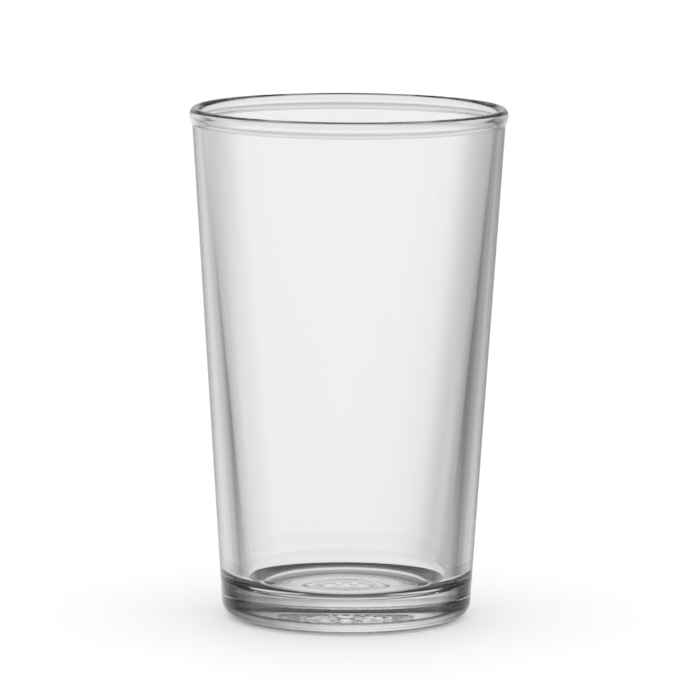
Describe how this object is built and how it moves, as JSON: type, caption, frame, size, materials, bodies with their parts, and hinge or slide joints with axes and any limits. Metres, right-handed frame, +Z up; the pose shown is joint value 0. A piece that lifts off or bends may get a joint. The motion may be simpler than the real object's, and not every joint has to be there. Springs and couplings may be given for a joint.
{
  "type": "pint glass",
  "caption": "Tall conical drinking glass of clear pressed glass with a beaded rim, a thick base and a notched heel; stands on a flat ring.",
  "frame": {"origin": "middle of the base, on the surface that the glass stands on", "axes": "+Z up along the glass's axis, from the base to the mouth; X and Y are equivalent, with a heel notch on +X"},
  "size_m": [0.0922, 0.0922, 0.1486],
  "materials": {
    "clear_glass": "fire-polished clear soda-lime glass with a faint grey-green body colour"
  },
  "bodies": {
    "root": {"tumbler": "clear_glass"}
  },
  "joints": []
}
